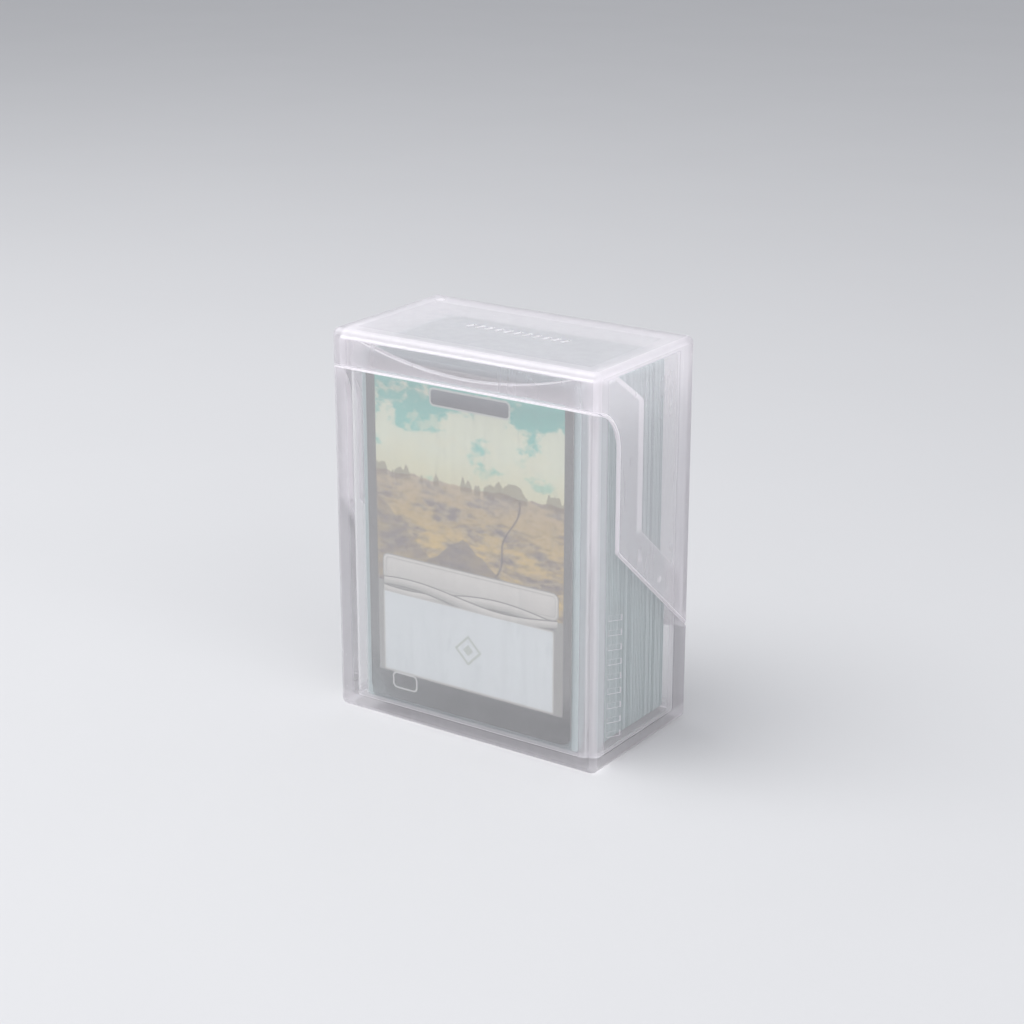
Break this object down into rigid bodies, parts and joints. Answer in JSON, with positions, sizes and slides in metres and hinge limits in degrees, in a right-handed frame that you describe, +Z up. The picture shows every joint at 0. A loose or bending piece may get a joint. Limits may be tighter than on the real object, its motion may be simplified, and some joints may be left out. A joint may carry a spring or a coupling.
{
  "type": "card deck box",
  "caption": "Frosted upright deck box with a lift-off lid, parted along a stepped line down its sides, holding a stack of sleeved cards.",
  "frame": {"origin": "middle of the base", "axes": "+Z up, -Y the front wall with the shown card, +X the side with the row of sunk marks"},
  "size_m": [0.0816, 0.046, 0.105],
  "materials": {
    "frosted_shell": "frosted translucent polypropylene, satin, milky at double walls",
    "sleeve_film": "thin clear film with a faint cool cast",
    "card_print": "printed coated card with a dark border",
    "sleeved_card": "white card edge behind clear sleeve film"
  },
  "bodies": {
    "box": {"box_body": "frosted_shell"},
    "lid": {"lid": "frosted_shell"},
    "deck": {"front_sleeve": "sleeve_film", "front_card": "card_print", "sleeved_card_01": "sleeved_card", "sleeved_card_02": "sleeved_card", "sleeved_card_03": "sleeved_card", "sleeved_card_04": "sleeved_card", "sleeved_card_05": "sleeved_card", "sleeved_card_06": "sleeved_card", "sleeved_card_07": "sleeved_card", "sleeved_card_08": "sleeved_card", "sleeved_card_09": "sleeved_card", "sleeved_card_10": "sleeved_card", "sleeved_card_11": "sleeved_card", "sleeved_card_12": "sleeved_card", "sleeved_card_13": "sleeved_card", "sleeved_card_14": "sleeved_card", "sleeved_card_15": "sleeved_card", "sleeved_card_16": "sleeved_card", "sleeved_card_17": "sleeved_card", "sleeved_card_18": "sleeved_card", "sleeved_card_19": "sleeved_card", "sleeved_card_20": "sleeved_card", "sleeved_card_21": "sleeved_card", "sleeved_card_22": "sleeved_card", "sleeved_card_23": "sleeved_card", "sleeved_card_24": "sleeved_card", "sleeved_card_25": "sleeved_card", "sleeved_card_26": "sleeved_card", "sleeved_card_27": "sleeved_card", "sleeved_card_28": "sleeved_card", "sleeved_card_29": "sleeved_card", "sleeved_card_30": "sleeved_card", "sleeved_card_31": "sleeved_card", "sleeved_card_32": "sleeved_card", "sleeved_card_33": "sleeved_card", "sleeved_card_34": "sleeved_card", "sleeved_card_35": "sleeved_card", "sleeved_card_36": "sleeved_card", "sleeved_card_37": "sleeved_card", "sleeved_card_38": "sleeved_card", "sleeved_card_39": "sleeved_card", "sleeved_card_40": "sleeved_card", "sleeved_card_41": "sleeved_card", "sleeved_card_42": "sleeved_card", "sleeved_card_43": "sleeved_card", "sleeved_card_44": "sleeved_card", "sleeved_card_45": "sleeved_card", "sleeved_card_46": "sleeved_card", "sleeved_card_47": "sleeved_card", "sleeved_card_48": "sleeved_card", "sleeved_card_49": "sleeved_card"}
  },
  "joints": [
    {"name": "lid_lift", "type": "slide", "parent": "box", "child": "lid", "axis": [0, 0, 1], "range_m": [0, 0.18]},
    {"name": "deck_lift", "type": "slide", "parent": "box", "child": "deck", "axis": [0, 0, 1], "range_m": [0, 0.1035]}
  ],
  "couplings": [
    {"joint": "deck_lift", "follows": "lid_lift", "ratio": 0.575}
  ]
}
